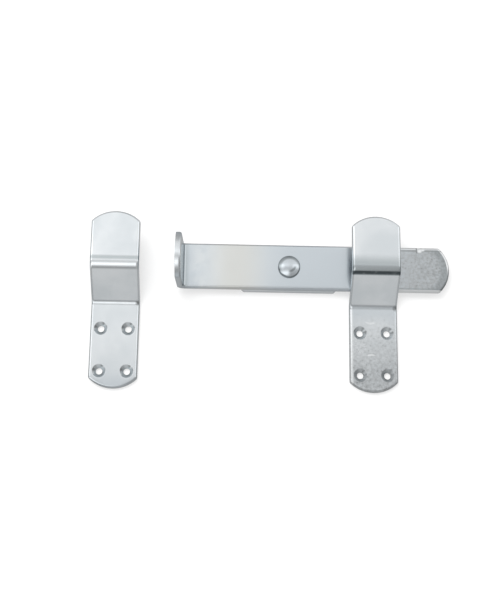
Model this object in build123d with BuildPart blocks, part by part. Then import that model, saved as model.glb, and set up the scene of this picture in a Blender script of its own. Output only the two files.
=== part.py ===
from build123d import *
import os
from math import cos, radians, sin, tan

# Kick over door bolt. A flat arm turns on a rivet through a back plate and drops into a hooked keep.
# Every piece is cut from the same flat steel bar. The set lies on its fixing faces: Z = 0 is the face of the
# door, +Z points away from it, +Y points up the door, and the pivot's axis is the Z axis.

os.makedirs("parts", exist_ok=True)

# Bar stock
bar_width = 40.0
bar_thickness = 5.0
end_crown = 8.4  # how far the rounded end of a cut bar stands past its corners
front_round = 2.0  # rolled edge on the side that faces the room
back_round = 0.4  # broken edge on the side that faces the door
corner_round = 2.4  # corner between a rounded end and the side of a bar

# Screw holes, countersunk from the front
screw_hole = 5.6
screw_countersink = 11.0
countersink_angle = 90.0
screw_spacing_across = 22.6

# Kick arm
arm_width = 38.5
arm_tip_reach = 135.0  # from the pivot to the tip
arm_tab_reach = 93.0  # from the pivot to the outer face of the kick tab, at its fold
tab_height = 45.0  # from the back of the arm to the end of the tab
tab_lean = 1.5  # degrees that the tab opens past square
tab_inside_radius = 2.0
nick_reach = 108.0  # a chisel nick in the upper edge of the arm, steep on the side of the pivot
nick_length = 7.5
nick_depth = 5.0
nick_sink = 2.8

# Pivot
plate_length = 93.0
plate_screw_spacing = 60.0
shoulder_diameter = 12.0
pin_diameter = 9.0
rivet_tail_diameter = 13.0
rivet_head_diameter = 18.6
rivet_head_lip = 1.1
rivet_head_height = 4.4
arm_play = 0.3  # free space behind the arm and in front of it
pivot_clearance = 0.08  # radial

# Keeps
keep_foot = 74.0  # from the lower end to the fold of the foot, on the back
keep_hook = 44.5  # from the fold of the hook to the upper end, on the back
keep_gap = 25.0  # from the door to the back of the hook
keep_web_angle = 45.0
keep_inside_radius = 6.5
keep_seat_gap = 0.9  # between the resting arm and the sloping web
keep_screw_end = 14.0  # from the lower end to the first row of holes
keep_screw_spacing = 35.5
frame_keep_reach = 71.0  # from the pivot to the middle of the keep that holds the arm
door_keep_reach = 144.0  # from the pivot to the middle of the other keep

# Places that follow from these
arm_back = bar_thickness + arm_play
arm_front = arm_back + bar_thickness
head_seat = arm_front + arm_play
half_width = bar_width / 2
arm_half_width = arm_width / 2
edge_match = 0.01  # how closely an edge has to follow the back line of its bar
web_rise = sin(radians(keep_web_angle))
web_run = cos(radians(keep_web_angle))

# The arm's lower front edge rests on the web, which sets the height of the keeps.
edge_y = -arm_half_width + front_round
edge_z = arm_front - front_round
fold_y = edge_y - (front_round + keep_seat_gap + edge_z * web_run) / web_rise
keep_low = fold_y - keep_foot
hook_y = fold_y + keep_gap / tan(radians(keep_web_angle))
keep_top = hook_y + keep_hook


def crowned_blank(near, far, half):
    """Outline of a cut bar along X, from near to far, with both ends rounded. half is half its width."""
    with BuildSketch() as blank:
        with BuildLine():
            Line((near + end_crown, -half), (far - end_crown, -half))
            ThreePointArc((far - end_crown, -half), (far, 0), (far - end_crown, half))
            Line((far - end_crown, half), (near + end_crown, half))
            ThreePointArc((near + end_crown, half), (near, 0), (near + end_crown, -half))
        make_face()
        fillet(blank.vertices(), radius=corner_round)
    return blank.sketch


def rim(solid, back, plane, depth):
    """Edges round a folded bar that lie at a depth from its back line, without those across the bar."""

    def follows(edge):
        middle = plane.to_local_coords(edge @ 0.5)
        off_line = back.distance_to(Vertex(middle.X, middle.Y, 0))
        return abs(off_line - depth) < edge_match

    across = solid.edges().filter_by(Axis((0, 0, 0), plane.z_dir))
    return solid.edges().filter_by(follows) - across


# Kick arm: one bar, folded up at its short end into a tab for the boot
lean = radians(tab_lean)
tab_top = (-arm_tab_reach - tab_height * tan(lean), arm_back + tab_height)
with BuildPart() as kick_arm:
    with BuildSketch(Plane.XZ):
        with BuildLine():
            arm_line = FilletPolyline(
                (arm_tip_reach, arm_back),
                (-arm_tab_reach, arm_back),
                tab_top,
                radius=tab_inside_radius + bar_thickness,
            )
            offset(arm_line, amount=bar_thickness, side=Side.RIGHT)
        make_face()
    extrude(amount=arm_half_width, both=True)
    with BuildSketch(Plane.XY):
        add(crowned_blank(-arm_tip_reach - tab_height, arm_tip_reach, arm_half_width))
    extrude(amount=arm_back + 2 * tab_height, mode=Mode.INTERSECT)
    tab_plane = Plane(
        origin=(-arm_tab_reach, 0, arm_back),
        x_dir=(-sin(lean), 0, cos(lean)),
        z_dir=(cos(lean), 0, sin(lean)),
    )
    with BuildSketch(tab_plane):
        add(crowned_blank(-arm_tip_reach - tab_height, tab_height / cos(lean), arm_half_width))
    extrude(amount=2 * arm_tip_reach + arm_tab_reach, both=True, mode=Mode.INTERSECT)
    fillet(rim(kick_arm.part, arm_line, Plane.XZ, bar_thickness), radius=front_round)
    fillet(rim(kick_arm.part, arm_line, Plane.XZ, 0), radius=back_round)
    with Locations((0, 0, arm_front)):
        Hole(radius=shoulder_diameter / 2 + pivot_clearance)
    with BuildSketch(Plane.YZ.offset(nick_reach)) as nick_wall:
        with Locations((arm_half_width, arm_front)):
            Polygon((0, 0), (-nick_depth, 0), (0, -nick_sink), align=None)
    nick_end = Vertex(nick_reach + nick_length, arm_half_width, arm_front)
    loft([nick_wall.sketch, nick_end], mode=Mode.SUBTRACT)
kick_arm.part.label = "kick_arm"
export_step(kick_arm.part, "parts/kick_arm.step")

# Pivot plate: lies behind the arm, screwed down when the arm stands upright and clears its holes
with BuildPart() as pivot_plate:
    with BuildSketch():
        add(crowned_blank(-plate_length / 2, plate_length / 2, half_width))
    extrude(amount=bar_thickness)
    fillet(pivot_plate.faces().sort_by(Axis.Z)[-1].edges(), radius=front_round)
    with Locations((0, 0, bar_thickness)):
        with GridLocations(plate_screw_spacing, screw_spacing_across, 2, 2):
            CounterSinkHole(screw_hole / 2, screw_countersink / 2, counter_sink_angle=countersink_angle)
    with Locations(Location((0, 0, 0), (180, 0, 0))):
        CounterSinkHole(pin_diameter / 2, rivet_tail_diameter / 2, counter_sink_angle=countersink_angle)
pivot_plate.part.label = "pivot_plate"
export_step(pivot_plate.part, "parts/pivot_plate.step")

# Pivot rivet: the tail is spread into the plate, and the arm turns on the shoulder under the head
pin_radius = pin_diameter / 2
shoulder_radius = shoulder_diameter / 2
head_radius = rivet_head_diameter / 2
tail_radius = rivet_tail_diameter / 2
tail_depth = (tail_radius - pin_radius) / tan(radians(countersink_angle / 2))
head_top = head_seat + rivet_head_height
with BuildPart() as pivot_rivet:
    with BuildSketch(Plane.XZ):
        with BuildLine():
            Polyline(
                (0, head_top),
                (0, 0),
                (tail_radius, 0),
                (pin_radius, tail_depth),
                (pin_radius, bar_thickness),
                (shoulder_radius, bar_thickness),
                (shoulder_radius, head_seat),
                (head_radius, head_seat),
                (head_radius, head_seat + rivet_head_lip),
            )
            TangentArc((0, head_top), (head_radius, head_seat + rivet_head_lip), tangent=(1, 0))
        make_face()
    revolve(axis=Axis.Z)
pivot_rivet.part.label = "pivot_rivet"
export_step(pivot_rivet.part, "parts/pivot_rivet.step")

# Keeps: a screwed foot, a sloping web that carries the arm, and a hook that stands clear of the door
keep_places = {"door_keep": -door_keep_reach, "frame_keep": frame_keep_reach}
for keep_name, keep_x in keep_places.items():
    side_plane = Plane((keep_x, 0, 0), x_dir=(0, 1, 0), z_dir=(1, 0, 0))
    with BuildPart() as keep:
        with BuildSketch(side_plane):
            with BuildLine():
                keep_line = FilletPolyline(
                    (keep_low, 0),
                    (fold_y, 0),
                    (hook_y, keep_gap),
                    (keep_top, keep_gap),
                    radius=[keep_inside_radius + bar_thickness, keep_inside_radius],
                )
                offset(keep_line, amount=bar_thickness, side=Side.LEFT)
            make_face()
        extrude(amount=half_width, both=True)
        with BuildSketch(Plane((keep_x, 0, 0), x_dir=(0, 1, 0), z_dir=(0, 0, 1))):
            add(crowned_blank(keep_low, keep_top, half_width))
        extrude(amount=keep_gap + 2 * bar_thickness, mode=Mode.INTERSECT)
        fillet(rim(keep.part, keep_line, side_plane, bar_thickness), radius=front_round)
        fillet(rim(keep.part, keep_line, side_plane, 0), radius=back_round)
        with Locations((keep_x, keep_low + keep_screw_end + keep_screw_spacing / 2, bar_thickness)):
            with GridLocations(screw_spacing_across, keep_screw_spacing, 2, 2):
                CounterSinkHole(
                    screw_hole / 2, screw_countersink / 2, 2 * bar_thickness, counter_sink_angle=countersink_angle
                )
    keep.part.label = keep_name
    export_step(keep.part, f"parts/{keep_name}.step")
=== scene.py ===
# %% [markdown]
# # A kick over door bolt
# The bolt is a flat steel arm that turns on a rivet and drops into a hooked keep. The flat pieces are cut from
# bar and folded cold, the rivet is turned, and all of it is zinc plated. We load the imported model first, because
# its nodes say where each piece lies, and then model every piece again as a clean mesh with rolled edges that
# catch the light.

# %% Load the frame
import math

import bmesh
import bpy
from mathutils import Matrix, Vector


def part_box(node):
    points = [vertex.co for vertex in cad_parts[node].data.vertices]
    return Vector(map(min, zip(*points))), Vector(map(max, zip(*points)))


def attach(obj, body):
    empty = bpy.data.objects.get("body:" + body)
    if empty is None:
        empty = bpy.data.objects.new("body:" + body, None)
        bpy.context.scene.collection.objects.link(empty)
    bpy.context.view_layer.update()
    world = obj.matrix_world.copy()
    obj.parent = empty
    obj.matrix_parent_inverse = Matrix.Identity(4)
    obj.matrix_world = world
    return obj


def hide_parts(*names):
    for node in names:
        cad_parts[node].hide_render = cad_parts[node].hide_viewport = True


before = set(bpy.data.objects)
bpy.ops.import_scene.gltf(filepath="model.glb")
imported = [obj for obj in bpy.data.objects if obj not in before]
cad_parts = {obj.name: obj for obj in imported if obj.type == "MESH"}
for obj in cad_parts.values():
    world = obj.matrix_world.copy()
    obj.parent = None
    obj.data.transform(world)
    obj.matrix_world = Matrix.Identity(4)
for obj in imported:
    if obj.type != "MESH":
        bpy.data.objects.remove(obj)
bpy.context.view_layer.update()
MM = 0.001

# %% [markdown]
# ## The camera
# The photograph looks down on the set, a little from the front. A lens and a place were found by matching the
# edges of the keeps and the arm, so the camera is built from the point it looks at, its distance and three
# small turns, which are easier to read than a matrix.

# %% Place the camera
IMAGE_WIDTH, IMAGE_HEIGHT = 500, 600
SENSOR_MM = 36.0
FOCAL_PIXELS = 1031.6
CAMERA_TARGET = Vector((-32.1 * MM, -26.58 * MM, 0.0))
CAMERA_DISTANCE = 866.6 * MM
CAMERA_TILT = math.radians(13.61)
CAMERA_PAN = math.radians(1.6)
CAMERA_ROLL = math.radians(0.73)

camera_data = bpy.data.cameras.new("photo_camera")
camera_data.sensor_width = SENSOR_MM
camera_data.lens = SENSOR_MM * FOCAL_PIXELS / max(IMAGE_WIDTH, IMAGE_HEIGHT)
camera = bpy.data.objects.new("photo_camera", camera_data)
bpy.context.scene.collection.objects.link(camera)
turn = (
    Matrix.Rotation(-CAMERA_PAN, 4, "Y")
    @ Matrix.Rotation(CAMERA_TILT, 4, "X")
    @ Matrix.Rotation(CAMERA_ROLL, 4, "Z")
)
camera.matrix_world = Matrix.Translation(CAMERA_TARGET) @ turn @ Matrix.Translation((0, 0, CAMERA_DISTANCE))
bpy.context.scene.camera = camera
bpy.context.scene.view_settings.view_transform = "Standard"
print("camera stands at", [round(v, 3) for v in camera.matrix_world.translation])

# %% [markdown]
# ## Shader maths in Python
# Node graphs read better as sums. A small class wraps a socket, and its operators add Math nodes, so
# `1 - mask` makes a node by itself. Every other node comes from one method that takes its type, its settings
# and its inputs.

# %% Wrap sockets so that they can be added and multiplied
class Value:
    """A socket of a node that can be used in sums."""

    def __init__(self, graph, socket):
        self.graph = graph
        self.socket = socket

    def maths(self, operation, first, second):
        return self.graph.node("ShaderNodeMath", {"operation": operation}, {0: first, 1: second})

    def __add__(self, other):
        return self.maths("ADD", self, other)

    def __mul__(self, other):
        return self.maths("MULTIPLY", self, other)

    def __sub__(self, other):
        return self.maths("SUBTRACT", self, other)

    def __rsub__(self, other):
        return self.maths("SUBTRACT", other, self)

    __radd__ = __add__
    __rmul__ = __mul__

    def ramp(self, low, high, start=0.0, end=1.0):
        """A smooth step from start to end while the value goes from low to high."""
        inputs = {"Value": self, "From Min": low, "From Max": high, "To Min": start, "To Max": end}
        return self.graph.node("ShaderNodeMapRange", {"interpolation_type": "SMOOTHSTEP"}, inputs)


MIX_FACTOR, MIX_FIRST, MIX_SECOND, MIX_RESULT = 0, 6, 7, 2  # sockets of the Mix node, when it mixes colours


class Graph:
    """A node tree, with one method that makes any node."""

    def __init__(self, tree):
        self.tree = tree
        tree.nodes.clear()

    def node(self, kind, settings=None, inputs=None, output=0):
        """Makes a node and gives one of its outputs, or the node itself where it has none."""
        made = self.tree.nodes.new(kind)
        for name, value in (settings or {}).items():
            if name == "stops":
                self.set_stops(made.color_ramp, value)
            else:
                setattr(made, name, value)
        for name, value in (inputs or {}).items():
            if isinstance(value, Value):
                self.tree.links.new(value.socket, made.inputs[name])
            else:
                made.inputs[name].default_value = value
        return Value(self, made.outputs[output]) if made.outputs else made

    @staticmethod
    def set_stops(color_ramp, stops):
        """Sets the greys of a colour ramp."""
        while len(color_ramp.elements) < len(stops):
            color_ramp.elements.new(1.0)
        for element, (place, grey) in zip(color_ramp.elements, stops):
            element.position = place
            element.color = (grey, grey, grey, 1.0)

    def mix(self, factor, first, second):
        """Mixes two colours by a factor."""
        inputs = {MIX_FACTOR: factor, MIX_FIRST: first, MIX_SECOND: second}
        return self.node("ShaderNodeMix", {"data_type": "RGBA"}, inputs, MIX_RESULT)

    def axis(self, vector, name):
        """One part of a vector, by the name of its axis."""
        return self.node("ShaderNodeSeparateXYZ", {}, {"Vector": vector}, name)

    def noise(self, place, scale, detail=2.0, roughness=0.5):
        inputs = {"Vector": place, "Scale": scale, "Detail": detail, "Roughness": roughness}
        return self.node("ShaderNodeTexNoise", {}, inputs)


print("socket maths is ready")

# %% [markdown]
# ## Light
# Plated steel shows whatever stands round it, so its tones are set by the world and not by a lamp. The world is
# a ramp of greys from the back of the table to its front, once for the left side of the studio and once for the
# right. Two strips of light stand at the sides, and the far sides fade. The camera itself sees plain white.

# %% Set the tones of the studio
BRIGHTEST = 1.5
LEFT_TONES = [
    (0.0, 0.45), (0.04, 0.55), (0.10, 0.88), (0.25, 1.00), (0.30, 1.12), (0.353, 1.20), (0.384, 1.08),
    (0.403, 0.98), (0.42, 0.86), (0.45, 0.74), (0.52, 0.72), (0.58, 0.95), (0.65, 1.50), (0.72, 1.45),
    (0.80, 0.70), (0.86, 0.36), (0.92, 0.38), (0.95, 0.66), (1.0, 0.70),
]
RIGHT_TONES = [
    (0.0, 0.40), (0.04, 0.52), (0.10, 0.84), (0.25, 0.94), (0.30, 0.98), (0.353, 0.98), (0.384, 0.90),
    (0.403, 0.88), (0.42, 0.80), (0.45, 0.72), (0.52, 0.64), (0.58, 0.58), (0.65, 0.53), (0.72, 0.48),
    (0.80, 0.44), (0.86, 0.42), (0.92, 0.48), (0.955, 0.66), (1.0, 0.70),
]
SIDE_BLEND = (-0.08, 0.14)
STRIP_SIDES = (0.06, 0.20)
STRIP_BACK = (0.28, 0.34)
STRIP_FRONT = (0.44, 0.50)
STRIP_GAIN = 0.5
SIDE_FADE = (0.55, 0.95)
SIDE_FALL = 0.35
WHITE = (1.0, 1.0, 1.0, 1.0)

world = bpy.data.worlds.new("studio")
bpy.context.scene.world = world
world.use_nodes = True
sky = Graph(world.node_tree)
toward = sky.node("ShaderNodeTexCoord", output="Generated")
across = sky.axis(toward, "X")
back_to_front = sky.axis(toward, "Y") * -0.5 + 0.5  # 0 at the back, 1 at the front


def tone_ramp(tones):
    """The greys of one side of the studio, as shares of the brightest."""
    stops = [(place, tone / BRIGHTEST) for place, tone in tones]
    return sky.node("ShaderNodeValToRGB", {"stops": stops}, {"Fac": back_to_front})


studio = sky.mix(across.ramp(*SIDE_BLEND), tone_ramp(LEFT_TONES), tone_ramp(RIGHT_TONES))
sideways = across * across
strip_start = back_to_front.ramp(*STRIP_BACK)
strip_stop = back_to_front.ramp(*STRIP_FRONT, 1.0, 0.0)
strips = sideways.ramp(*STRIP_SIDES) * strip_start * strip_stop
strength = (strips * STRIP_GAIN + 1.0) * sideways.ramp(*SIDE_FADE, BRIGHTEST, SIDE_FALL * BRIGHTEST)
surroundings = sky.node("ShaderNodeBackground", {}, {"Color": studio, "Strength": strength})
backdrop = sky.node("ShaderNodeBackground", {}, {"Color": WHITE, "Strength": 1.0})
to_camera = sky.node("ShaderNodeLightPath", output="Is Camera Ray")
seen = sky.node("ShaderNodeMixShader", {}, {0: to_camera, 1: surroundings, 2: backdrop})
sky.node("ShaderNodeOutputWorld", {}, {"Surface": seen})
print("studio tones", len(LEFT_TONES), "on the left and", len(RIGHT_TONES), "on the right")

# %% [markdown]
# ## The lamp
# One large soft lamp gives the paper its shadows, as a softbox over a table does. Reflections do not see it,
# because the world already sets the tones of the metal.

# %% Hang the lamp
LAMP_PLACE = Vector((-0.34, 0.5, 1.25))
LAMP_SIZE = 0.7
LAMP_POWER = 9.0

lamp_data = bpy.data.lights.new("soft_lamp", "AREA")
lamp_data.size = LAMP_SIZE
lamp_data.energy = LAMP_POWER
lamp = bpy.data.objects.new("soft_lamp", lamp_data)
lamp.location = LAMP_PLACE
lamp.rotation_euler = (CAMERA_TARGET - LAMP_PLACE).to_track_quat("-Z", "Y").to_euler()
bpy.context.scene.collection.objects.link(lamp)
lamp.visible_glossy = False
print("lamp", [round(v, 2) for v in lamp.location], "power", LAMP_POWER)

# %% [markdown]
# ## The table
# The set lies on white paper. For the camera and for reflections the paper is mostly white by itself, with a
# share of plain matt white left in, so that it still keeps the soft shadows under the arm and the hooks.

# %% Lay the white paper
PAPER_SIZE = 4.0
PAPER_DROP = 0.05 * MM
PAPER_WHITE = (0.94, 0.94, 0.94, 1.0)
PAPER_BRIGHTNESS = 1.1
PAPER_GLOW = 0.5
PAPER_MIRRORED = 0.5

paper_mesh = bmesh.new()
bmesh.ops.create_grid(paper_mesh, x_segments=1, y_segments=1, size=PAPER_SIZE / 2)
bmesh.ops.translate(paper_mesh, verts=paper_mesh.verts, vec=(0, 0, -PAPER_DROP))
paper_data = bpy.data.meshes.new("paper")
paper_mesh.to_mesh(paper_data)
paper_mesh.free()
paper = bpy.data.objects.new("paper", paper_data)
bpy.context.scene.collection.objects.link(paper)
paper_finish = bpy.data.materials.new("white_paper")
paper_finish.use_nodes = True
sheet = Graph(paper_finish.node_tree)
matt = sheet.node("ShaderNodeBsdfDiffuse", {}, {"Color": PAPER_WHITE})
glow = sheet.node("ShaderNodeEmission", {}, {"Color": WHITE, "Strength": PAPER_BRIGHTNESS})
dim = sheet.node("ShaderNodeEmission", {}, {"Color": WHITE, "Strength": PAPER_MIRRORED})
seen_directly = sheet.node("ShaderNodeLightPath", output="Is Camera Ray")
seen_mirrored = sheet.node("ShaderNodeLightPath", output="Is Glossy Ray")
direct = sheet.node("ShaderNodeMixShader", {}, {0: seen_directly * PAPER_GLOW, 1: matt, 2: glow})
shown = sheet.node("ShaderNodeMixShader", {}, {0: seen_mirrored, 1: direct, 2: dim})
sheet.node("ShaderNodeOutputMaterial", {}, {"Surface": shown})
paper_data.materials.append(paper_finish)
print("paper laid at", -PAPER_DROP)

# %% [markdown]
# ## Zinc plate
# Bright zinc is a thin grey-blue metal. It is never one tone: the bath leaves soft clouds, handling leaves fine
# scuffs, and worn places go grey and grainy. The finish is built from noise on Object coordinates. Each piece
# places its own wear, with layers of tone under it and marks on top. Many of these layers and marks are painted
# shade, painted highlights and painted reflections rather than colours of the metal.

# %% Make a function for the zinc finish
BRIGHT_ZINC = (0.78, 0.81, 0.83, 1.0)
CLOUD_ZINC = (0.69, 0.73, 0.755, 1.0)
WORN_ZINC = (0.46, 0.48, 0.49, 1.0)
# dark specks of wear, and painted shadows in corners and at the nick
DARK_SPECK_AND_SHADE = (0.27, 0.285, 0.29, 1.0)
CLOUD_SCALE, CLOUD_DETAIL = 28.0, 3.0
CLOUD_EDGE = (0.35, 0.7)
GRAIN_SCALE, GRAIN_DETAIL = 1400.0, 1.0
GRAIN_ROUGHNESS, GRAIN_RELIEF = 0.03, 0.05
CLEAN_EDGE, CLEAN_ROUGHNESS = (0.3, 0.7), (0.15, 0.21)
SPECK_SCALE, SPECK_DETAIL, SPECK_BREAK = 380.0, 3.0, 0.65
SPECK_EDGE = (0.58, 0.75)
PATCH_EDGE, PATCH_DEPTH = (0.25, 0.6), (0.7, 1.0)
WEAR_EDGE, WEAR_DEPTH = (0.35, 0.6), (0.55, 1.0)
WORN_ROUGHNESS, WORN_RELIEF = 0.16, 0.2
BUMP_STRENGTH, BUMP_DISTANCE = 0.3, 0.1 * MM


def lay(graph, place, colour, coats):
    """Lays coats over a colour. Each coat is a mask and the colour that it brings."""
    for mask, coat_colour in coats:
        colour = graph.mix(mask(graph, place), colour, coat_colour)
    return colour


def zinc_finish(name, worn=None, layers=(), marks=()):
    """A zinc plated finish. Layers lie under the mask of wear, and marks lie on top of it."""
    finish = bpy.data.materials.new(name)
    finish.use_nodes = True
    graph = Graph(finish.node_tree)
    place = graph.node("ShaderNodeTexCoord", output="Object")
    clouds = graph.noise(place, CLOUD_SCALE, CLOUD_DETAIL)
    grain = graph.noise(place, GRAIN_SCALE, GRAIN_DETAIL)
    colour = graph.mix(clouds.ramp(*CLOUD_EDGE), BRIGHT_ZINC, CLOUD_ZINC)
    roughness = clouds.ramp(*CLEAN_EDGE, *CLEAN_ROUGHNESS) + grain * GRAIN_ROUGHNESS
    relief = grain * GRAIN_RELIEF
    colour = lay(graph, place, colour, layers)
    if worn:
        specks = graph.noise(place, SPECK_SCALE, SPECK_DETAIL, SPECK_BREAK)
        patchy = worn(graph, place) * clouds.ramp(*PATCH_EDGE, *PATCH_DEPTH)
        colour = graph.mix(patchy * specks.ramp(*WEAR_EDGE, *WEAR_DEPTH), colour, WORN_ZINC)
        colour = graph.mix(patchy * specks.ramp(*SPECK_EDGE), colour, DARK_SPECK_AND_SHADE)
        roughness = roughness + patchy * WORN_ROUGHNESS
        relief = relief + patchy * specks * WORN_RELIEF
    colour = lay(graph, place, colour, marks)
    bump_inputs = {"Strength": BUMP_STRENGTH, "Distance": BUMP_DISTANCE, "Height": relief}
    bump = graph.node("ShaderNodeBump", {}, bump_inputs)
    inputs = {"Base Color": colour, "Roughness": roughness, "Metallic": 1.0, "Normal": bump}
    surface = graph.node("ShaderNodeBsdfPrincipled", {}, inputs)
    graph.node("ShaderNodeOutputMaterial", {}, {"Surface": surface})
    print("finish", name, "with", len(layers), "layers and", len(marks), "marks")
    return finish


plate_zinc = zinc_finish("plate_zinc")

# %% [markdown]
# ## Masks
# A mask says where a layer or a mark lies: along an axis, round a point, or in rubbed patches. A mask is a
# function that adds its own nodes, so masks can be named, shared and multiplied.

# %% Make masks
def along(axis, low, high, amount=1.0):
    """A mask that rises from 0 to amount between two places on an axis of the object, in mm."""

    def mask(graph, place):
        return graph.axis(place, axis).ramp(low * MM, high * MM, 0.0, amount)

    return mask


def below(axis, high, low, amount=1.0):
    """A mask that rises from 0 to amount while a place on an axis falls from high to low, in mm."""
    return along(axis, high, low, amount)


def around(centre, radius, width, amount=1.0):
    """A mask on a ring round a point, in mm. With no radius it is a round spot."""

    def mask(graph, place):
        inputs = {0: place, 1: tuple(v * MM for v in centre)}
        distance = graph.node("ShaderNodeVectorMath", {"operation": "DISTANCE"}, inputs, "Value")
        off = distance - radius * MM
        return (off * off).ramp(0.0, (width * MM) ** 2, amount, 0.0)

    return mask


def overlap(*masks):
    """A mask where all of several masks meet."""

    def mask(graph, place):
        shared = masks[0](graph, place)
        for other in masks[1:]:
            shared = shared * other(graph, place)
        return shared

    return mask


def rubbed(scale, low, high):
    """A mask of patches, which breaks up wear as rubbing does, and breaks up painted shade."""

    def mask(graph, place):
        return graph.noise(place, scale).ramp(low, high)

    return mask


print("masks", [maker.__name__ for maker in (along, below, around, overlap, rubbed)])

# %% [markdown]
# ## A folded bar
# Every flat piece here is the same thing: a cut bar with rounded ends, folded or not. A single vertex is run
# and spun along the back of the bar to draw its side view, the line is extruded across the width, the end
# rows are pushed into an arc, and Solidify gives it thickness. Then the edges are rolled with Bevel.

# %% Helpers that run, fold and widen a bar
BAR_WIDTH = 40 * MM
END_CROWN = 8.4 * MM
COLUMNS = 16
FOLD_STEPS = 12
ROW_MATCH = 1e-7


def run(bm, vertex, step):
    """Draws a straight line from a vertex and gives the vertex at its end."""
    made = bmesh.ops.extrude_vert_indiv(bm, verts=[vertex])["verts"][0]
    bmesh.ops.translate(bm, verts=[made], vec=step)
    return made


def fold(bm, vertex, heading, radius, angle):
    """Spins a vertex through a fold. Angles turn the heading up, away from the door."""
    side = 1 if angle > 0 else -1
    left = Vector((0, -heading.z, heading.y)) * side
    centre = vertex.co + left * radius
    spun = bmesh.ops.spin(
        bm, geom=[vertex], cent=centre, axis=(1, 0, 0), angle=angle, steps=FOLD_STEPS, use_duplicate=False
    )
    last = [item for item in spun["geom_last"] if isinstance(item, bmesh.types.BMVert)][0]
    return last, Matrix.Rotation(angle, 3, "X") @ heading


def crown_drop(offset, width):
    """How far the rounded end of a bar falls back at an offset from its middle line."""
    radius = ((width / 2) ** 2 + END_CROWN**2) / (2 * END_CROWN)
    return radius - math.sqrt(radius**2 - offset**2)


def widen(bm, width, ends):
    """Extrudes a side line across the bar. ends gives the outer vertices and the way each end points."""
    places = [(vertex.co.copy(), way) for vertex, way in ends]
    spread = bmesh.ops.extrude_edge_only(bm, edges=bm.edges[:])["geom"]
    far_side = [item for item in spread if isinstance(item, bmesh.types.BMVert)]
    bmesh.ops.translate(bm, verts=far_side, vec=(width, 0, 0))
    cross = [edge for edge in bm.edges if abs(edge.verts[0].co.x - edge.verts[1].co.x) > width / 2]
    bmesh.ops.subdivide_edges(bm, edges=cross, cuts=COLUMNS - 1, use_grid_fill=True)
    bmesh.ops.translate(bm, verts=bm.verts, vec=(-width / 2, 0, 0))
    for co, way in places:
        row = [v for v in bm.verts if abs(v.co.y - co.y) < ROW_MATCH and abs(v.co.z - co.z) < ROW_MATCH]
        for vertex in row:
            vertex.co -= way * crown_drop(vertex.co.x, width)


print("bar", BAR_WIDTH, "wide, with ends that stand out by", END_CROWN)

# %% [markdown]
# ## Thickness and rolled edges
# The front edges of the bar are round, and its back edges are only broken. The corners at its ends are rounded
# first, so that the rims, which come after them, run on round the corners.

# %% Helpers that thicken a bar and roll its edges
BAR_THICKNESS = 5 * MM
FRONT_ROUND, FRONT_SEGMENTS = 2.0 * MM, 5
BACK_ROUND, BACK_SEGMENTS = 0.4 * MM, 2
CORNER_ROUND, CORNER_SEGMENTS = 1.0 * MM, 4
WALL_TILT = 0.3
CORNER_TURN = math.radians(20)
RIM_TURN = math.radians(60)


def thicken(bm):
    """Gives the sheet its thickness on the side that faces away from the door."""
    bmesh.ops.recalc_face_normals(bm, faces=bm.faces)
    bm.normal_update()
    if sum(face.normal.z * face.calc_area() for face in bm.faces) > 0:
        bmesh.ops.reverse_faces(bm, faces=bm.faces)
    bmesh.ops.solidify(bm, geom=bm.faces[:], thickness=BAR_THICKNESS)
    bmesh.ops.recalc_face_normals(bm, faces=bm.faces)
    bm.normal_update()


def bevel(bm, edges, offset, segments):
    bmesh.ops.bevel(
        bm, geom=edges, offset=offset, segments=segments, profile=0.5, affect="EDGES", material=-1,
        clamp_overlap=True,
    )
    bm.normal_update()


def roll_edges(bm, front_of):
    """Rounds the corners, the front rim and the back rim. front_of tells which way a face looks."""

    def sharp(edge, least):
        return len(edge.link_faces) == 2 and edge.calc_face_angle() > least

    def sides(edge):
        return sorted(front_of(face) for face in edge.link_faces)

    corners = [e for e in bm.edges if sharp(e, CORNER_TURN) and max(map(abs, sides(e))) < WALL_TILT]
    bevel(bm, corners, CORNER_ROUND, CORNER_SEGMENTS)
    fronts = [e for e in bm.edges if sharp(e, RIM_TURN) and sides(e)[1] > WALL_TILT]
    bevel(bm, fronts, FRONT_ROUND, FRONT_SEGMENTS)
    backs = [e for e in bm.edges if sharp(e, RIM_TURN) and sides(e)[0] < -WALL_TILT]
    bevel(bm, backs, BACK_ROUND, BACK_SEGMENTS)


print("bar", BAR_THICKNESS, "thick, front edges", FRONT_ROUND, "back edges", BACK_ROUND)

# %% [markdown]
# ## Drilling
# Countersunk holes are cut with a Boolean. The drill is a profile spun round its axis: a straight shank and a
# cone, with a small flare at the mouth so that the edge of each hole is not razor sharp. The flare runs on a
# little past the surface, because a ring that lies exactly on it would leave faces without area.

# %% Helper that makes a drill
SCREW_RADIUS = 2.8 * MM
COUNTERSINK_RADIUS = 5.5 * MM
MOUTH_FLARE = 0.25 * MM
FLARE_OVERRUN = 1.5
DRILL_SIDES = 64
DRILL_OVERRUN = 2 * MM
SPIN_MERGE = 1e-7


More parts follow.
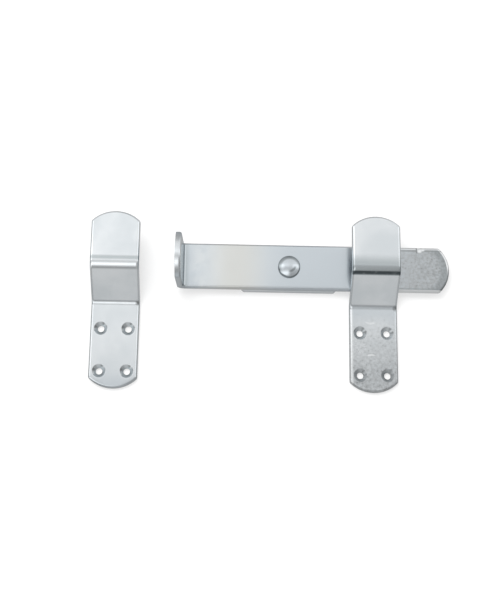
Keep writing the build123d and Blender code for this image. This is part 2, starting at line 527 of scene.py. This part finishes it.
def drill(bm, place, depth, hole, sink=None, from_back=False):
    """Adds a drill to a bmesh. It points down from place, or up where it drills from the back."""
    start = bmesh.ops.create_vert(bm, co=(0, 0, -depth - DRILL_OVERRUN))["vert"][0]
    tip = run(bm, start, (hole, 0, 0))
    if sink:
        shank = run(bm, tip, (0, 0, depth + DRILL_OVERRUN - (sink - hole)))
        cone = run(bm, shank, (sink - hole, 0, sink - hole - MOUTH_FLARE / 2))
        mouth = run(bm, cone, Vector((MOUTH_FLARE, 0, MOUTH_FLARE / 2)) * FLARE_OVERRUN)
        top = run(bm, mouth, (0, 0, DRILL_OVERRUN))
    else:
        top = run(bm, tip, (0, 0, depth + 2 * DRILL_OVERRUN))
    run(bm, top, (-top.co.x, 0, 0))
    outline = [v for v in bm.verts if not v.link_faces]
    edges = [e for e in bm.edges if not e.link_faces]
    bmesh.ops.spin(
        bm, geom=outline + edges, cent=(0, 0, 0), axis=(0, 0, 1), angle=2 * math.pi, steps=DRILL_SIDES,
        use_merge=True, use_duplicate=False,
    )
    bmesh.ops.remove_doubles(bm, verts=bm.verts, dist=SPIN_MERGE)
    new = [v for v in bm.verts if not v.tag]
    if from_back:
        bmesh.ops.rotate(bm, verts=new, cent=(0, 0, 0), matrix=Matrix.Rotation(math.pi, 3, "X"))
    bmesh.ops.translate(bm, verts=new, vec=place)
    for vertex in new:
        vertex.tag = True


print("drill for screws", SCREW_RADIUS, "opening to", COUNTERSINK_RADIUS)

# %% [markdown]
# ## From a mesh to a piece
# A finished piece is drilled, welded, given its metal and smoothed. It then rides on its body, so that it turns
# with the joint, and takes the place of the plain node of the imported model.

# %% Helpers that cut and finish a piece
WELD_GAP = 0.001 * MM
SMOOTH_ANGLE = math.radians(38)


def cut_out(piece, drills):
    """Takes the drills away from a piece."""
    bmesh.ops.recalc_face_normals(drills, faces=drills.faces)
    bit_mesh = bpy.data.meshes.new(piece.name + "_drill")
    drills.to_mesh(bit_mesh)
    drills.free()
    bit = bpy.data.objects.new(piece.name + "_drill", bit_mesh)
    bpy.context.scene.collection.objects.link(bit)
    cut = piece.modifiers.new("drill", "BOOLEAN")
    cut.object = bit
    cut.solver = "EXACT"
    bpy.context.view_layer.update()
    drilled = bpy.data.meshes.new_from_object(piece.evaluated_get(bpy.context.evaluated_depsgraph_get()))
    piece.modifiers.clear()
    piece.data = drilled
    drilled.name = piece.name
    bpy.data.objects.remove(bit)
    bpy.data.meshes.remove(bit_mesh)


def weld(mesh):
    """Joins points that lie on one another, so that no face is left without area."""
    bm = bmesh.new()
    bm.from_mesh(mesh)
    bmesh.ops.remove_doubles(bm, verts=bm.verts, dist=WELD_GAP)
    bmesh.ops.dissolve_degenerate(bm, edges=bm.edges, dist=WELD_GAP)
    bm.to_mesh(mesh)
    bm.free()


def finish_piece(bm, name, finish, body, node, drills=None):
    """Turns a bmesh into the shown piece of a node, drilled, smooth and riding on its body."""
    mesh = bpy.data.meshes.new(name)
    bm.to_mesh(mesh)
    bm.free()
    piece = bpy.data.objects.new(name, mesh)
    bpy.context.scene.collection.objects.link(piece)
    if drills:
        cut_out(piece, drills)
    weld(piece.data)
    piece.data.materials.clear()
    piece.data.materials.append(finish)
    piece.data.shade_smooth()
    piece.data.set_sharp_from_angle(angle=SMOOTH_ANGLE)
    even = piece.modifiers.new("even_normals", "WEIGHTED_NORMAL")
    even.keep_sharp = True
    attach(piece, body)
    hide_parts(node)
    print(name, "faces", len(piece.data.polygons))


print("pieces are welded at", WELD_GAP)

# %% [markdown]
# ## How the keeps are worn and shaded
# A grey band of painted shade lies over the upper fold of each keep, painted shade darkens their screw holes, and
# a painted shadow lies in a corner at the edge of each web. The keep on the right is duller: its foot is grey and
# grainy, painted shade lies at its lower fold and a dark line of it in its upper fold, a painted highlight runs
# along its left edge, and a few bright scratches lie on the foot.

# %% Make the finishes of the keeps
SHADED_ZINC = (0.57, 0.62, 0.66, 1.0)
# painted shade in folds, in screw holes and on the tab
PAINTED_SHADE_GREY = (0.46, 0.50, 0.515, 1.0)
# painted dark shade and painted dark reflections, in lines, rings and a crescent
PAINTED_DARK_TONE = (0.25, 0.28, 0.29, 1.0)
# painted shade deep in the fold of a hook
PAINTED_FOLD_SHADE = (0.10, 0.12, 0.13, 1.0)
# bright scratches on the foot, and painted highlights on edges, on the tip and in the nick
FRESH_ZINC_AND_HIGHLIGHT = (0.92, 0.94, 0.95, 1.0)
ON_FRONT_OF_HOOK = along("Z", 25.4, 26.2)
# painted shade inside the countersinks of the foot
SHADE_IN_FOOT_HOLES = overlap(below("Z", 4.9, 4.3, 0.42), below("Y", -38, -42))
# noise that breaks up the painted shade in the fold and in the holes
FOLD_SHADE_BREAKUP = rubbed(260, 0.2, 0.5)
HOLE_SHADE_BREAKUP = rubbed(160, 0.3, 0.6)

door_keep_zinc = zinc_finish(
    "door_keep_zinc",
    layers=[
        # painted shade over the fold of the hook, a darker lower end of the foot, and painted shade in the screw
        # holes
        (overlap(along("Y", -2.6, -0.6, 0.9), below("Y", 2.6, 0.6), ON_FRONT_OF_HOOK), PAINTED_SHADE_GREY),
        (below("Y", -86, -103, 0.7), SHADED_ZINC),
        (SHADE_IN_FOOT_HOLES, PAINTED_SHADE_GREY),
    ],
    # a painted shadow in the corner at the edge of the web
    marks=[(around((-125.6, -32.5, 6.0), 0, 2.6, 0.8), DARK_SPECK_AND_SHADE)],
)
frame_keep_zinc = zinc_finish(
    "frame_keep_zinc",
    worn=below("Y", -22, -94),
    layers=[
        # painted shade over the fold of the hook, and a painted dark line of shade at its lower side
        (overlap(below("Y", 8.5, -1.0, 0.95), along("Y", -10.6, -9.6), ON_FRONT_OF_HOOK), PAINTED_SHADE_GREY),
        (overlap(below("Y", -6.6, -7.2), along("Y", -10.2, -9.4), ON_FRONT_OF_HOOK), PAINTED_DARK_TONE),
        (overlap(below("Y", -7.0, -7.5), along("Y", -9.6, -9.0), ON_FRONT_OF_HOOK, FOLD_SHADE_BREAKUP), PAINTED_FOLD_SHADE),
        # painted shade at the lower fold and in the screw holes
        (overlap(along("Y", -48, -36, 0.6), below("Y", -30, -32)), SHADED_ZINC),
        (overlap(SHADE_IN_FOOT_HOLES, HOLE_SHADE_BREAKUP), PAINTED_SHADE_GREY),
    ],
    marks=[
        # two bright arcs on the foot
        (overlap(around((68.4, -40.6, 5), 5.4, 1.3, 0.4), below("Y", -43.6, -46.0)), FRESH_ZINC_AND_HIGHLIGHT),
        (
            overlap(
                along("X", 64.8, 67.0, 0.75), below("X", 73.6, 69.6), along("Y", -80, -78),
                around((69, -87, 5), 14.4, 0.8),
            ),
            FRESH_ZINC_AND_HIGHLIGHT,
        ),
        # a painted highlight on the left edge and a painted shadow in the corner on the right
        (overlap(below("X", 54.4, 52.8, 0.55), below("Y", -30, -36), along("Z", 2.6, 3.4)), FRESH_ZINC_AND_HIGHLIGHT),
        (around((89.4, -33.0, 5.6), 0, 3.0, 0.75), DARK_SPECK_AND_SHADE),
    ],
)

# %% [markdown]
# ## The keeps
# Each keep is a bar with a screwed foot, a web that slopes away from the door and a hook above it. The two are
# the same, so one function makes both at the places of their nodes.

# %% Fold and drill the keeps
KEEP_HOOK = 44.5 * MM
KEEP_WEB_ANGLE = math.radians(45)
KEEP_INSIDE_RADIUS = 6.5 * MM
SCREW_ACROSS = 22.6 * MM
KEEP_SCREW_END = 14 * MM
KEEP_SCREW_ALONG = 35.5 * MM


def make_keep(node, finish):
    """Makes a keep from its foot to its hook, in the box of its node."""
    low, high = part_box(node)
    gap = high.z - BAR_THICKNESS
    hook_y = high.y - KEEP_HOOK
    fold_y = hook_y - gap / math.tan(KEEP_WEB_ANGLE)
    outer = KEEP_INSIDE_RADIUS + BAR_THICKNESS
    half_turn = math.tan(KEEP_WEB_ANGLE / 2)
    web = gap / math.sin(KEEP_WEB_ANGLE)
    heading = Vector((0, 1, 0))
    bm = bmesh.new()
    foot_end = bmesh.ops.create_vert(bm, co=(0, low.y, 0))["vert"][0]
    corner = run(bm, foot_end, heading * (fold_y - low.y - outer * half_turn))
    corner, heading = fold(bm, corner, heading, outer, KEEP_WEB_ANGLE)
    corner = run(bm, corner, heading * (web - (outer + KEEP_INSIDE_RADIUS) * half_turn))
    corner, heading = fold(bm, corner, heading, KEEP_INSIDE_RADIUS, -KEEP_WEB_ANGLE)
    hook_end = run(bm, corner, Vector((0, high.y, gap)) - corner.co)
    widen(bm, BAR_WIDTH, [(foot_end, Vector((0, -1, 0))), (hook_end, Vector((0, 1, 0)))])
    thicken(bm)
    roll_edges(bm, lambda face: face.normal.z)
    middle = (low.x + high.x) / 2
    bmesh.ops.translate(bm, verts=bm.verts, vec=(middle, 0, 0))
    drills = bmesh.new()
    for side in (-1, 1):
        for row in (0, 1):
            hole_y = low.y + KEEP_SCREW_END + row * KEEP_SCREW_ALONG
            place = (middle + side * SCREW_ACROSS / 2, hole_y, BAR_THICKNESS)
            drill(drills, place, BAR_THICKNESS, SCREW_RADIUS, COUNTERSINK_RADIUS)
    finish_piece(bm, node + "_zinc", finish, "fixings", node, drills)


make_keep("door_keep", door_keep_zinc)
make_keep("frame_keep", frame_keep_zinc)

# %% [markdown]
# ## The pivot plate
# The plate is the same bar left flat. Only its lower edge shows while the arm rests, but it comes into view as
# the arm swings up, so its screw holes are real.

# %% Cut and drill the pivot plate
PLATE_SCREW_ALONG = 60 * MM
PIN_RADIUS = 4.5 * MM
TAIL_RADIUS = 6.5 * MM
ALONG_X = Matrix.Rotation(-math.pi / 2, 3, "Z")

low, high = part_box("pivot_plate")
bm = bmesh.new()
near_end = bmesh.ops.create_vert(bm, co=(0, low.x, 0))["vert"][0]
far_end = run(bm, near_end, (0, high.x - low.x, 0))
widen(bm, BAR_WIDTH, [(near_end, Vector((0, -1, 0))), (far_end, Vector((0, 1, 0)))])
thicken(bm)
roll_edges(bm, lambda face: face.normal.z)
bmesh.ops.rotate(bm, verts=bm.verts, cent=(0, 0, 0), matrix=ALONG_X)
drills = bmesh.new()
for side in (-1, 1):
    for end in (-1, 1):
        place = (end * PLATE_SCREW_ALONG / 2, side * SCREW_ACROSS / 2, BAR_THICKNESS)
        drill(drills, place, BAR_THICKNESS, SCREW_RADIUS, COUNTERSINK_RADIUS)
drill(drills, (0, 0, 0), BAR_THICKNESS, PIN_RADIUS, TAIL_RADIUS, from_back=True)
finish_piece(bm, "pivot_plate_zinc", plate_zinc, "fixings", "pivot_plate", drills)

# %% [markdown]
# ## How the arm is worn and shaded
# The tip of the arm is dull and mottled, with a painted highlight along its rim. The bar is darker towards the
# tip, and painted shade lies inside the fold of the tab. Painted highlights and painted shade also run along its
# edges and round the nick. All of these are colours of the finish, so the mesh stays plain there.

# %% Make the finish of the arm
ARM_GREY = (0.675, 0.71, 0.725, 1.0)
WARM_ZINC = (0.665, 0.67, 0.645, 1.0)
TIP_ARC = 108.743  # where the arc of the tip has its centre, in mm along X
ON_ARM_FACE = along("Z", 7.2, 8.4)
ON_TIP_FACE = along("Z", 9.0, 10.0)
ON_TAB_FACE = overlap(along("X", -90.6, -89.6), below("X", -86.6, -87.2), along("Z", 11.5, 13))
# noise that breaks up the painted shade towards the tab
TAB_SHADE_BREAKUP = rubbed(80, 0.34, 0.62)
FINE_MOTTLE = rubbed(520, 0.40, 0.66)

arm_layers = [
    # the whole arm, its middle and tip, and a warmer patch between the tab and the rivet
    (along("Z", 4, 5, 0.8), ARM_GREY),
    (along("X", -58, 4, 0.9), SHADED_ZINC),
    (overlap(along("X", -72, -48, 0.85), below("X", -12, -42)), WARM_ZINC),
    # painted shade towards the tab, in its fold and on its inner face
    (overlap(below("X", -56, -84, 0.7), TAB_SHADE_BREAKUP), SHADED_ZINC),
    (below("X", -74, -85, 0.8), SHADED_ZINC),
    (overlap(below("X", -82.5, -86, 0.5), below("Z", 14, 12)), PAINTED_SHADE_GREY),
    (overlap(ON_TAB_FACE, below("Y", 14, 4, 0.75)), PAINTED_SHADE_GREY),
    # a painted highlight on the end of the tab
    (along("Z", 43, 47, 0.85), BRIGHT_ZINC),
]
arm_marks = [
    # a dark crescent of painted shade inside the rim of the tip, and fine dark mottle of wear
    (overlap(around((TIP_ARC, 0, 10.3), 24.2, 7.5, 0.5), along("X", 112, 126), ON_TIP_FACE), PAINTED_DARK_TONE),
    (overlap(along("X", 92, 130, 0.5), ON_TIP_FACE, FINE_MOTTLE), DARK_SPECK_AND_SHADE),
    # painted reflections on the rolled edges: a dark and a bright line along the lower edge, and a bright one
    # along the upper edge
    (overlap(below("Y", -15.9, -16.6, 0.45), along("X", 60, 96), ON_ARM_FACE), PAINTED_DARK_TONE),
    (overlap(below("Y", -17.2, -17.9, 0.9), along("X", 60, 96), below("X", 131, 127)), FRESH_ZINC_AND_HIGHLIGHT),
    (overlap(along("Y", 16.8, 17.6, 0.75), along("Z", 6.5, 8.0), along("X", 20, 80)), FRESH_ZINC_AND_HIGHLIGHT),
    # a painted highlight on the rim of the tip and a painted dark line of shade under it
    (overlap(around((TIP_ARC, 0, 9.3), 25.0, 1.1, 0.95), along("X", 112, 120), along("Y", -5, 4)), FRESH_ZINC_AND_HIGHLIGHT),
    (overlap(around((TIP_ARC, 0, 8.3), 26.3, 0.7, 0.75), along("X", 126, 129)), PAINTED_DARK_TONE),
    # dark lines of painted shadow at the wall of the nick and of painted shade along the edge before it
    (
        overlap(along("X", 106.6, 107.4), below("X", 108.6, 108.1), along("Y", 13.6, 14.6, 0.8), ON_ARM_FACE),
        DARK_SPECK_AND_SHADE,
    ),
    (
        overlap(along("Y", 15.2, 15.9, 0.55), below("Y", 17.2, 16.5), along("X", 84, 96), ON_ARM_FACE),
        DARK_SPECK_AND_SHADE,
    ),
    # bright bare metal in the nick, brightened further with a painted highlight
    (overlap(around((110.2, 16.4, 9.6), 0, 2.6, 0.95), along("X", 108, 108.4)), FRESH_ZINC_AND_HIGHLIGHT),
    (around((112.8, 17.5, 9.6), 0, 2.3, 0.9), FRESH_ZINC_AND_HIGHLIGHT),
]
tip_wear = overlap(along("X", 40, 112), along("Z", 7.2, 9.0))
arm_zinc = zinc_finish("arm_zinc", tip_wear, arm_layers, arm_marks)

# %% [markdown]
# ## The kick arm
# The arm is one bar with its short end folded up into a tab for the boot. Its upper edge has a nick near the tip,
# cut here with a small wedge.

# %% Fold and drill the arm
TAB_HEIGHT = 45 * MM
TAB_LEAN = math.radians(1.5)
TAB_REACH = 93 * MM
TAB_INSIDE_RADIUS = 2 * MM
SHOULDER_BORE = 6.08 * MM
NICK_REACH = 108 * MM
NICK_LENGTH = 7.5 * MM
NICK_DEPTH = 5 * MM
NICK_SINK = 2.8 * MM
NICK_OVERRUN = 1 * MM

low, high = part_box("kick_arm")
arm_back = low.z
arm_front = arm_back + BAR_THICKNESS
arm_width = high.y - low.y
outer = TAB_INSIDE_RADIUS + BAR_THICKNESS
bend = math.pi / 2 - TAB_LEAN
set_back = outer * math.tan(bend / 2)
heading = Vector((0, math.sin(TAB_LEAN), -math.cos(TAB_LEAN)))
tab_way = -heading
tab_length = TAB_HEIGHT / math.cos(TAB_LEAN)
bm = bmesh.new()
tab_end = bmesh.ops.create_vert(bm, co=Vector((0, -TAB_REACH, arm_back)) - heading * tab_length)["vert"][0]
corner = run(bm, tab_end, heading * (tab_length - set_back))
corner, heading = fold(bm, corner, heading, outer, bend)
tip_end = run(bm, corner, Vector((0, high.x, arm_back)) - corner.co)
widen(bm, arm_width, [(tab_end, tab_way), (tip_end, Vector((0, 1, 0)))])
thicken(bm)


def arm_front_side(face):
    """The front of the bar looks up along the arm and inwards along the tab."""
    centre = face.calc_center_median()
    if centre.z > arm_back + set_back:
        return face.normal.y
    if centre.y < set_back - TAB_REACH:
        return face.normal.y + face.normal.z
    return face.normal.z


roll_edges(bm, arm_front_side)
bmesh.ops.rotate(bm, verts=bm.verts, cent=(0, 0, 0), matrix=ALONG_X)
drills = bmesh.new()
drill(drills, (0, 0, arm_front), BAR_THICKNESS, SHOULDER_BORE)
nick_top = Vector((NICK_REACH, arm_width / 2, arm_front))
nick_steps = [
    (0, 0, -NICK_SINK), (0, -NICK_DEPTH, 0), (NICK_LENGTH, 0, 0),
    (0, NICK_OVERRUN, -NICK_SINK), (0, -NICK_DEPTH, NICK_OVERRUN),
    (NICK_LENGTH, NICK_OVERRUN, NICK_OVERRUN), (0, NICK_OVERRUN, NICK_OVERRUN),
]
# the steps that each face joins, written out so that the wedge is the same in each run
nick_faces = [(1, 0, 3, 6, 4), (3, 6, 5), (4, 6, 5), (0, 1, 2), (0, 3, 2), (3, 2, 5), (1, 2, 4), (2, 4, 5)]
wedge = [bmesh.ops.create_vert(drills, co=nick_top + Vector(step))["vert"][0] for step in nick_steps]
for corners in nick_faces:
    bmesh.ops.contextual_create(drills, geom=[wedge[index] for index in corners])
finish_piece(bm, "kick_arm_zinc", arm_zinc, "arm", "kick_arm", drills)

# %% [markdown]
# ## The rivet
# The rivet is turned, so it is one profile spun round the pivot: a tail spread into the back of the plate, a
# pin, the shoulder that the arm turns on and a domed head with a rounded rim. Dark rings in its
# finish stand for what the rim reflects.

# %% Turn the rivet
HEAD_WALL = 2.1 * MM
RIM_ROUND = 1.7 * MM
RIM_SEGMENTS = 6
LIP_TURN = math.radians(30)
SHOULDER_RADIUS = 6 * MM
DOME_STEPS = 10
RIVET_SIDES = 72
ARM_PLAY = 0.3 * MM

rivet_zinc = zinc_finish(
    "rivet_zinc",
    layers=[
        # a darker head overall, and painted dark reflections: rings at the rim and an arc in the dome
        (along("Z", 11, 12, 0.75), SHADED_ZINC),
        (overlap(around((0.4, -1.2, 12.5), 9.6, 3.0, 0.85), along("Y", -9, 2)), PAINTED_DARK_TONE),
        (overlap(around((0, 0, 11.5), 9.5, 1.0, 0.95), below("Y", 4, -4)), PAINTED_DARK_TONE),
        (overlap(around((0, 0.5, 13), 5.2, 1.2, 0.7), along("X", -1, 2), below("Y", 1, -2)), PAINTED_DARK_TONE),
    ],
)
low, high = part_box("pivot_rivet")
head_radius = high.x
head_seat = arm_front + ARM_PLAY
dome_height = high.z - head_seat - HEAD_WALL
dome_radius = (head_radius**2 + dome_height**2) / (2 * dome_height)
bm = bmesh.new()
vertex = bmesh.ops.create_vert(bm, co=(0, 0, 0))["vert"][0]
vertex = run(bm, vertex, (TAIL_RADIUS, 0, 0))
vertex = run(bm, vertex, (PIN_RADIUS - TAIL_RADIUS, 0, TAIL_RADIUS - PIN_RADIUS))
vertex = run(bm, vertex, (0, 0, BAR_THICKNESS - vertex.co.z))
vertex = run(bm, vertex, (SHOULDER_RADIUS - PIN_RADIUS, 0, 0))
vertex = run(bm, vertex, (0, 0, head_seat - BAR_THICKNESS))
vertex = run(bm, vertex, (head_radius - SHOULDER_RADIUS, 0, 0))
vertex = run(bm, vertex, (0, 0, HEAD_WALL))
bmesh.ops.spin(
    bm, geom=[vertex], cent=(0, 0, high.z - dome_radius), axis=(0, -1, 0),
    angle=math.asin(head_radius / dome_radius), steps=DOME_STEPS, use_duplicate=False,
)
bmesh.ops.spin(
    bm, geom=bm.verts[:] + bm.edges[:], cent=(0, 0, 0), axis=(0, 0, 1), angle=2 * math.pi, steps=RIVET_SIDES,
    use_merge=True, use_duplicate=False,
)
bmesh.ops.remove_doubles(bm, verts=bm.verts, dist=WELD_GAP)
bmesh.ops.recalc_face_normals(bm, faces=bm.faces)
bm.normal_update()
lip_height = head_seat + HEAD_WALL / 2
lip = [
    edge for edge in bm.edges
    if edge.calc_face_angle(0) > LIP_TURN and all(v.co.z > lip_height for v in edge.verts)
]
bevel(bm, lip, RIM_ROUND, RIM_SEGMENTS)
finish_piece(bm, "pivot_rivet_zinc", rivet_zinc, "fixings", "pivot_rivet")
